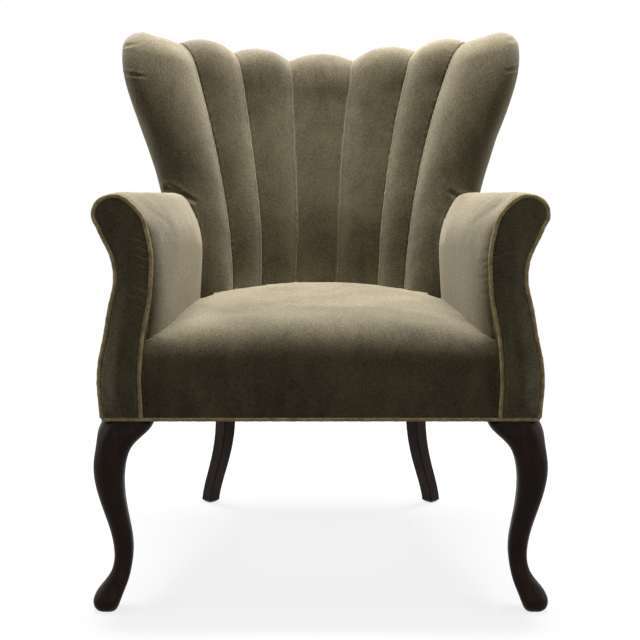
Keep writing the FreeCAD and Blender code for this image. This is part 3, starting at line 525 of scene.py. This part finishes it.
padSettings = {
    # inset: drawn in before it swells, cap: how far it may swell, reach: within it the cover is held,
    # snug: pressed on its neighbours, calm: how far the folds of the swelling are smoothed, belly: fuller
    # in the middle than the solid, over bellyReach from its neighbours and smoothed by blur
    "back_channel": {
        "voxel": 0.0044, "passes": 4, "inset": 0.0015, "cap": 0.003, "reach": 0.003, "snug": 0.0005,
        "pressure": 3.0, "slack": 0.004, "calm": 14, "fill": 0.75,
        "belly": 0.0,
    },
    "inside_arm_pad": {
        "voxel": 0.005, "passes": 4, "inset": 0.002, "cap": 0.004, "reach": 0.003, "snug": 0.0005,
        "pressure": 3.0, "slack": 0.004, "calm": 10, "fill": 0.7,
        "belly": 0.018, "bellyReach": 0.10, "blur": 90,
    },
    "seat_pad": {
        "voxel": 0.006, "passes": 4, "inset": 0.002, "cap": 0.004, "reach": 0.003, "snug": 0.0008,
        "pressure": 3.0, "slack": 0.004, "calm": 10, "fill": 0.85,
        "belly": 0.0,
    },
    "arm_front_panel": {
        "voxel": 0.0026, "passes": 3, "inset": 0.001, "cap": 0.003, "reach": 0.0015, "snug": 0.0008,
        "pressure": 3.0, "slack": 0.01, "calm": 3, "fill": 0.5,
        "belly": 0.006, "bellyReach": 0.045, "blur": 24,
    },
}
bellyShape = {
    # starts above the foot, is less at the scroll, and leaves a narrow edge as it is
    "foot": (0.38, 0.54),
    "scroll": (0.60, 0.665),
    "scrollShare": 0.6,
    "edge": 0.02,
}
clothSettings = {
    "quality": 4,
    "mass": 0.25,
    "frames": 20,
    "leastHeld": 0.01,
}


def settingsOf(node):
    return next(padSettings[key] for key in padSettings if node.startswith(key))


def heldShares(pad, node, reach):
    # 1 where the cover lies on a neighbour and is sewn down, and 0 from twice the reach on
    distances = clearance(pad, node, set(nodes) - {"seat_pad"}, 2 * reach)
    return np.clip(2 - distances / reach, 0, 1)[:, None]


def bellies(pad, node, where, settings):
    # how far the middle stands out from the solid
    distances = clearance(pad, node, sewn - {"seat_pad"}, settings["bellyReach"])
    belly = settings["belly"] * smoothStep(distances, settings["reach"], settings["bellyReach"])
    belly *= 1 - (1 - bellyShape["scrollShare"]) * smoothStep(where[:, 2], *bellyShape["scroll"])
    belly *= smoothStep(where[:, 2], *bellyShape["foot"])
    inner = smoothStep(distances, 0.0, bellyShape["edge"])
    return blurred(pad, belly[:, None], settings["blur"]) * inner[:, None]


def addCloth(pad, settings, held):
    group = pad.vertex_groups.new(name="held")
    for index, weight in enumerate(held[:, 0]):
        if weight > clothSettings["leastHeld"]:
            group.add([index], float(weight), "REPLACE")
    cloth = pad.modifiers.new("Cloth", "CLOTH")
    cloth.settings.quality = clothSettings["quality"]
    cloth.settings.mass = clothSettings["mass"]
    cloth.settings.use_pressure = True
    cloth.settings.uniform_pressure_force = settings["pressure"]
    cloth.settings.shrink_min = -settings["slack"]
    cloth.settings.vertex_group_mass = "held"
    cloth.settings.effector_weights.gravity = 0
    cloth.collision_settings.use_collision = False
    cloth.point_cache.frame_start = 1
    cloth.point_cache.frame_end = clothSettings["frames"]


def swollen(pad, settings, start, free, full):
    # the simulated swelling, smoothed and capped
    applied(pad)
    swell = blurred(pad, points(pad.data) - start, settings["calm"])
    size = np.linalg.norm(swell, axis=1, keepdims=True)
    swell *= np.minimum(1, settings["cap"] / np.maximum(size, tiny)) * free
    setPoints(pad.data, start + swell + normals(pad.data) * full)


pads = {}
for node in sorted(nodes):
    if node.startswith(tuple(padSettings)):
        pads[node] = cadCopy(node, "soft_" + node)
        remeshed(pads[node], settingsOf(node)["voxel"], settingsOf(node)["passes"])
print("pads remeshed:", sum(len(pad.data.polygons) for pad in pads.values()), "faces")

starts = {}
for node, pad in pads.items():
    settings = settingsOf(node)
    held = heldShares(pad, node, settings["reach"])
    where = points(pad.data)
    where += (nearestOn(node, where) - where) * held
    full = np.full((len(where), 1), settings["snug"])
    if settings["belly"]:
        full += bellies(pad, node, where, settings)
    outward = normals(pad.data)
    starts[node] = (where - outward * settings["inset"] * (1 - held), 1 - held, full)
    setPoints(pad.data, starts[node][0])
    addCloth(pad, settings, held)
print("pads held at their seams")

for step in range(clothSettings["frames"]):
    scene.frame_set(step + 1)
for node, start in starts.items():
    swollen(pads[node], settingsOf(node), *start)
scene.frame_set(1)
print("pads swollen")


# Stuffing rounds the edges off

easing = {
    # passes, the bounds between which it fades out rearwards, downwards, upwards and sideways, and the
    # distances from other pieces between which it sets in
    "seat_pad": {
        "passes": 45, "rear": (-0.30, -0.16), "rest": 0.4, "low": (0.35, 0.39), "high": (0.60, 0.61),
        "wide": (0.24, 0.265), "hold": (0.002, 0.016), "ignored": set(),
    },
    "inside_arm_pad": {
        "passes": 130, "rear": (-0.30, -0.20), "rest": 0.0, "low": (0.34, 0.36), "high": (0.60, 0.66),
        "wide": (0.5, 0.6), "hold": (0.0, 0.005), "ignored": {"seat_pad"},
    },
}


def eased(piece, node, settings):
    where = points(piece.data)
    share = 1 - (1 - settings["rest"]) * smoothStep(where[:, 1], *settings["rear"])
    share *= smoothStep(where[:, 2], *settings["low"])
    share *= 1 - smoothStep(where[:, 2], *settings["high"])
    share *= 1 - smoothStep(np.abs(where[:, 0]), *settings["wide"])
    distances = clearance(piece, node, set(nodes) - settings["ignored"], settings["hold"][1])
    share *= smoothStep(distances, *settings["hold"])
    moved = blurred(piece, where, settings["passes"]) - where
    setPoints(piece.data, where + moved * share[:, None])


for node, pad in pads.items():
    for key in easing:
        if node.startswith(key):
            eased(pad, node, easing[key])
print("edges eased")


# Edges and folds that the sewing leaves in the pads

seatFit = {
    # the front falls behind the base welt and fills the width between the arm fronts
    "front": (-0.30, -0.27),
    "side": (0.262, 0.278),
    "sidePush": 0.0016,
    "corner": (0.225, 0.262),
    "cornerHeight": (0.36, 0.40),
    "cornerPush": 0.012,
    "armFace": 0.281,
    "foot": (0.326, 0.345),
    "footFace": -0.3642,
    "footTurn": (0.1, 0.3),
    "sink": 0.005,
}


def fitSeat(piece):
    where = points(piece.data)
    across = np.abs(where[:, 0])
    sideways = np.sign(where[:, 0])
    front = 1 - smoothStep(where[:, 1], *seatFit["front"])
    where[:, 0] += sideways * smoothStep(across, *seatFit["side"]) * front * seatFit["sidePush"]
    corner = smoothStep(across, *seatFit["corner"]) * smoothStep(where[:, 2], *seatFit["cornerHeight"])
    corner *= np.clip((seatFit["armFace"] - across) / seatFit["cornerPush"], 0, 1)
    where[:, 0] += sideways * corner * front * seatFit["cornerPush"]
    foot = front * (1 - smoothStep(where[:, 2], *seatFit["foot"]))
    forward = smoothStep(-normals(piece.data)[:, 1], *seatFit["footTurn"])
    where[:, 1] += (seatFit["footFace"] - where[:, 1]) * foot * forward
    where[:, 2] -= foot * seatFit["sink"]
    setPoints(piece.data, where)


backFit = {
    # the channels are fuller in the small of the back
    "full": 0.015,
    "rise": (0.45, 0.61),
    "fall": (0.61, 0.86),
    "width": (0.13, 0.25),
}


def fitBack(piece):
    where = points(piece.data)
    height = smoothStep(where[:, 2], *backFit["rise"]) - smoothStep(where[:, 2], *backFit["fall"])
    width = 1 - smoothStep(np.abs(where[:, 0]), *backFit["width"])
    where[:, 1] -= backFit["full"] * height * width
    setPoints(piece.data, where)


scrollFit = {
    # the arm fronts and their piping sit a little lower than the stuffing at the scroll
    "drop": 0.0025,
    "height": (0.60, 0.66),
}


def fitScroll(piece):
    where = points(piece.data)
    where[:, 2] -= scrollFit["drop"] * smoothStep(where[:, 2], *scrollFit["height"])
    setPoints(piece.data, where)


panelFit = {
    # the arm fronts stand forward below the waist, most at the height full
    "forward": 0.014,
    "full": 0.385,
    "spread": 0.08,
    "inner": 0.03,
    "edge": 0.006,
    "blur": 40,
}


def fitPanel(piece, node):
    where = points(piece.data)
    distances = clearance(piece, node, welts, panelFit["inner"])
    bulge = np.exp(-0.5 * ((where[:, 2] - panelFit["full"]) / panelFit["spread"]) ** 2)
    crown = blurred(piece, distances[:, None] / panelFit["inner"], panelFit["blur"])[:, 0]
    where[:, 1] -= panelFit["forward"] * bulge * crown * smoothStep(distances, 0.0, panelFit["edge"])
    setPoints(piece.data, where)


creaseShape = {
    # ridge: how high the sides of a fold rise, facing: how far a surface is turned to the sitter's side
    "ridge": 0.9,
    "facing": (0.0, 0.4),
}
creases = {
    # from the deep end to the end where it fades, half width and depth
    "back_channel_1": [
        ((-0.371, 0.139, 0.862), (-0.345, 0.123, 0.861), 0.0034, 0.0018),
        ((-0.352, 0.139, 0.861), (-0.324, 0.123, 0.857), 0.0032, 0.0014),
        ((-0.367, 0.157, 0.915), (-0.338, 0.154, 0.920), 0.0036, 0.0012),
        ((-0.286, 0.096, 0.652), (-0.246, 0.090, 0.634), 0.0055, 0.0040),
        ((-0.256, 0.092, 0.638), (-0.228, 0.092, 0.624), 0.0045, 0.0025),
        ((-0.262, 0.093, 0.626), (-0.236, 0.092, 0.608), 0.0045, 0.0018),
    ],
    "back_channel_7": [
        ((0.374, 0.146, 0.873), (0.342, 0.123, 0.867), 0.0034, 0.0017),
        ((0.366, 0.168, 0.927), (0.350, 0.161, 0.924), 0.0040, 0.0012),
        ((0.262, 0.093, 0.631), (0.236, 0.095, 0.648), 0.0050, 0.0030),
    ],
    "inside_arm_pad_right": [
        ((0.263, -0.356, 0.585), (0.249, -0.318, 0.578), 0.0034, 0.0008),
        ((0.263, -0.356, 0.569), (0.249, -0.300, 0.556), 0.0030, 0.0006),
        ((0.264, -0.356, 0.560), (0.250, -0.322, 0.551), 0.0034, 0.0009),
        ((0.264, -0.357, 0.546), (0.251, -0.312, 0.533), 0.0034, 0.0008),
        ((0.265, -0.357, 0.536), (0.252, -0.330, 0.528), 0.0030, 0.0007),
        ((0.265, -0.357, 0.521), (0.254, -0.316, 0.508), 0.0034, 0.0008),
        ((0.265, -0.358, 0.507), (0.256, -0.326, 0.497), 0.0030, 0.0006),
    ],
    "arm_front_panel_left": [
        ((-0.270, -0.369, 0.599), (-0.297, -0.370, 0.608), 0.0030, 0.0022),
        ((-0.269, -0.369, 0.587), (-0.298, -0.370, 0.598), 0.0028, 0.0026),
        ((-0.269, -0.369, 0.573), (-0.298, -0.370, 0.585), 0.0030, 0.0026),
        ((-0.270, -0.369, 0.560), (-0.297, -0.370, 0.572), 0.0028, 0.0022),
        ((-0.271, -0.369, 0.524), (-0.298, -0.370, 0.533), 0.0030, 0.0022),
        ((-0.273, -0.369, 0.510), (-0.299, -0.370, 0.520), 0.0028, 0.0024),
        ((-0.275, -0.369, 0.494), (-0.301, -0.370, 0.506), 0.0030, 0.0022),
    ],
    "arm_front_panel_right": [
        ((0.270, -0.369, 0.603), (0.292, -0.370, 0.612), 0.0028, 0.0014),
        ((0.270, -0.369, 0.577), (0.294, -0.370, 0.586), 0.0030, 0.0019),
        ((0.271, -0.369, 0.534), (0.295, -0.370, 0.541), 0.0028, 0.0017),
    ],
}


def crease(piece, node, start, end, width, depth):
    # presses a line into the side that faces the sitter, with a low ridge along either side
    start, end = np.array(start), np.array(end)
    where = points(piece.data)
    outward = normals(piece.data)
    arm = node.startswith("inside_arm_pad")
    facing = -outward[:, 0] * np.sign(where[:, 0]) if arm else -outward[:, 1]
    seen = [1, 2] if arm else [0, 2]
    along = (end - start)[seen]
    share = np.clip((where - start)[:, seen] @ along / (along @ along), 0, 1)
    gap = np.linalg.norm((where - start)[:, seen] - share[:, None] * along, axis=1) / width
    shape = (1 - creaseShape["ridge"] * gap ** 2) * np.exp(-0.5 * gap ** 2) * (1 - share ** 2)
    shape *= smoothStep(facing, *creaseShape["facing"])
    setPoints(piece.data, where - outward * (depth * shape)[:, None])


for node, pad in pads.items():
    soften(pad, 1)
    subdivided(pad)
    if node == "seat_pad":
        fitSeat(pad)
    if node.startswith("back_channel"):
        fitBack(pad)
    if node.startswith("arm_front_panel"):
        fitPanel(pad, node)
        fitScroll(pad)
    for line in creases.get(node, ()):
        crease(pad, node, *line)
    finished(pad, node, "velvet")
print("pads finished")


# Covers stretched over the frame

coverSettings = {
    "outside_arm_left": {
        "voxel": 0.0026, "passes": 2, "keep": 0.4, "flat": (0.64, 0.36), "area": 0.21,
        "restsOn": ["arm_top_rail_left", "side_seat_rail_left", "arm_post_left"],
    },
    "outside_arm_right": {
        "voxel": 0.0026, "passes": 2, "keep": 0.4, "flat": (0.64, 0.36), "area": 0.21,
        "restsOn": ["arm_top_rail_right", "side_seat_rail_right", "arm_post_right"],
    },
    "outside_back": {
        "voxel": 0.003, "passes": 2, "keep": 0.4, "flat": (0.74, 0.58), "area": 0.36,
        "restsOn": ["back_top_rail", "back_seat_rail", "back_post_left", "back_post_right"],
    },
}
cornerFit = {
    # the outside arms reach the outside back down to the foot
    "reach": 0.006,
    "rear": (0.212, 0.228),
    "foot": (0.325, 0.375),
}


def fitCorner(cover):
    where = points(cover.data)
    foot = 1 - smoothStep(where[:, 2], *cornerFit["foot"])
    where[:, 1] += cornerFit["reach"] * foot * smoothStep(where[:, 1], *cornerFit["rear"])
    setPoints(cover.data, where)


def addCover(node, settings):
    cover = cadCopy(node, "cover_" + node)
    remeshed(cover, settings["voxel"], settings["passes"])
    if node.startswith("outside_arm"):
        fitCorner(cover)
    thinned = cover.modifiers.new("Decimate", "DECIMATE")
    thinned.ratio = settings["keep"]
    applied(cover)
    finished(cover, node, "velvet")


for node, settings in coverSettings.items():
    addCover(node, settings)
print("outside covers stretched")

dustCover = {
    "flat": (0.66, 0.57),
    "area": 0.31,
    "longestEdge": 0.024,
    "sag": 0.004,
    "sagPower": 0.7,
    "restsOn": ["front_seat_rail", "back_seat_rail", "side_seat_rail_left", "side_seat_rail_right"],
}


def addDustCover():
    # black lining under the frame, which sags a little between the rails
    cover = cadCopy("dust_cover", "cover_dust_cover")
    work = bmesh.new()
    work.from_mesh(cover.data)
    while True:
        long = [edge for edge in work.edges if edge.calc_length() > dustCover["longestEdge"]]
        if not long:
            break
        bmesh.ops.subdivide_edges(work, edges=long, cuts=1)
        bmesh.ops.triangulate(work, faces=[face for face in work.faces if len(face.verts) > 3])
    work.to_mesh(cover.data)
    work.free()
    where = points(cover.data)
    low, high = where.min(axis=0), where.max(axis=0)
    share = (where - low) / (high - low)
    sag = np.sin(math.pi * share[:, 0]) * np.sin(math.pi * share[:, 1])
    where[:, 2] -= dustCover["sag"] * np.maximum(sag, 0) ** dustCover["sagPower"]
    setPoints(cover.data, where)
    finished(cover, "dust_cover", "dust_cloth")


addDustCover()
print("dust cover stretched")


# Piping

weltSettings = {
    "voxel": 0.0014,
    "passes": 1,
    "fuller": 0.0008,
    "pucker": 0.00035,
    "puckerLength": 0.012,
    "nodes": ["arm_welt_left", "arm_welt_right", "base_welt"],
}
rippleShape = {
    # three directions at right angles, the waves along them and what the two products weigh
    "directions": np.array([[0.8, 0.36, -0.48], [-0.6, 0.48, -0.64], [0.0, 0.8, 0.6]]),
    "firstPair": (1.0, 0.83),
    "secondPair": (1.9, 1.37),
    "weights": (0.65, 0.35),
}


def ripple(where, length, seed):
    # smooth, repeatable unevenness from -1 to 1
    turned = where @ rippleShape["directions"] * (2 * math.pi / length)
    slow, quick = rippleShape["firstPair"]
    first = np.sin(slow * turned[:, 0] + seed) * np.sin(quick * turned[:, 1] + 2 * seed)
    quick, slow = rippleShape["secondPair"]
    second = np.sin(quick * turned[:, 2] + 3 * seed) * np.sin(slow * turned[:, 0] + seed)
    return rippleShape["weights"][0] * first + rippleShape["weights"][1] * second


def addWelt(node, seed):
    welt = cadCopy(node, "piping_" + node)
    remeshed(welt, weltSettings["voxel"], weltSettings["passes"])
    where = points(welt.data)
    lift = weltSettings["pucker"] * ripple(where, weltSettings["puckerLength"], seed)
    setPoints(welt.data, where + normals(welt.data) * (weltSettings["fuller"] + lift)[:, None])
    if node != "base_welt":
        fitScroll(welt)
    finished(welt, node, "welt_cord")


for seed, node in enumerate(weltSettings["nodes"]):
    addWelt(node, seed)
print("piping sewn in")


# Camera, light and floor

cameraSettings = {
    "place": (0.0, -2.618, 0.830),
    "pitch": 8.95,
    "lens": 81.56,
    "sensor": 36.0,
    "shiftX": -0.0011,
}


def addCamera():
    data = bpy.data.cameras.new("camera")
    data.lens = cameraSettings["lens"]
    data.sensor_width = cameraSettings["sensor"]
    data.shift_x = cameraSettings["shiftX"]
    camera = bpy.data.objects.new("camera", data)
    camera.location = cameraSettings["place"]
    camera.rotation_euler = (math.radians(90 - cameraSettings["pitch"]), 0, 0)
    scene.collection.objects.link(camera)
    scene.camera = camera


lampSettings = {
    # place, the point that it is aimed at, width and height, and watts
    "overheadLamp": ((0.0, 0.4, 2.6), (0.0, 0.1, 0.5), (1.6, 0.6), 75.0),
    "frontLamp": ((0.0, -3.6, 1.6), (0.0, 0.0, 0.5), (2.6, 2.0), 12.0),
    "leftLamp": ((-2.6, -0.7, 1.4), (0.0, 0.0, 0.7), (1.2, 1.6), 17.0),
    "rightLamp": ((2.6, -0.7, 1.4), (0.0, 0.0, 0.7), (1.2, 1.6), 17.0),
    "rearLeftLamp": ((-2.0, 1.2, 1.2), (0.0, 0.0, 0.6), (1.0, 1.6), 6.0),
    "rearRightLamp": ((2.0, 1.2, 1.2), (0.0, 0.0, 0.6), (1.0, 1.6), 6.0),
}


def addLamp(name, place, target, size, watts):
    data = bpy.data.lights.new(name, "AREA")
    data.shape = "RECTANGLE"
    data.size, data.size_y = size
    data.energy = watts
    lamp = bpy.data.objects.new(name, data)
    lamp.location = place
    lamp.rotation_euler = (Vector(target) - Vector(place)).to_track_quat("-Z", "Y").to_euler()
    scene.collection.objects.link(lamp)


studioSettings = {
    # the floor is pale and glows, and turns to plain white from shadowInner to shadowOuter
    "fill": 0.07,
    "floorSize": 9.0,
    "floorLit": 0.1,
    "floorGlow": 0.8,
    "floorPale": 0.3,
    "shadowInner": 0.7,
    "shadowOuter": 2.2,
}


def grey(level):
    return (level, level, level, 1.0)


def backdropSeen(shader):
    # 1 where the camera, a reflection or a clear material looks at the backdrop
    def ray(kind):
        return shader.value("ShaderNodeLightPath", output=kind)
    return ray("Is Camera Ray").larger(ray("Is Glossy Ray")).larger(ray("Is Transmission Ray"))


def addWorld():
    world = bpy.data.worlds.new("studio")
    scene.world = world
    shader = Shader(world)
    fill = shader.value("ShaderNodeBackground", None,
                        {"Color": grey(1.0), "Strength": studioSettings["fill"]})
    white = shader.value("ShaderNodeBackground", None, {"Color": grey(1.0), "Strength": 1.0})
    mixed = shader.mixShaders(backdropSeen(shader), fill, white)
    shader.node("ShaderNodeOutputWorld", None, {"Surface": mixed})


def floorFinish():
    # what the camera sees keeps the shadow near the chair, and other rays meet a dark floor
    shader = newShader("floor")
    lit = shader.value("ShaderNodeBsdfDiffuse", None, {"Color": grey(studioSettings["floorLit"])})
    shaded = shader.value("ShaderNodeBsdfDiffuse", None, {"Color": grey(studioSettings["floorPale"])})
    glow = shader.value("ShaderNodeEmission", None,
                        {"Color": grey(1.0), "Strength": studioSettings["floorGlow"]})
    near = shader.value("ShaderNodeAddShader", None, {0: shaded, 1: glow})
    far = shader.value("ShaderNodeEmission", None, {"Color": grey(1.0), "Strength": 1.0})
    distance = shader.value("ShaderNodeVectorMath", {"operation": "LENGTH"}, {0: shader.place()},
                            output="Value")
    away = shader.spread(distance, studioSettings["shadowInner"], studioSettings["shadowOuter"])
    bright = shader.mixShaders(away, near, far)
    return shader.material(shader.mixShaders(backdropSeen(shader), lit, bright))


def addFloor():
    work = bmesh.new()
    bmesh.ops.create_grid(work, x_segments=1, y_segments=1, size=studioSettings["floorSize"])
    mesh = bpy.data.meshes.new("floor")
    work.to_mesh(mesh)
    work.free()
    floor = bpy.data.objects.new("floor", mesh)
    scene.collection.objects.link(floor)
    mesh.materials.append(floorFinish())


addCamera()
for name, settings in lampSettings.items():
    addLamp(name, *settings)
addWorld()
addFloor()
scene.view_settings.view_transform = "Standard"
print("camera, lamps and floor placed")
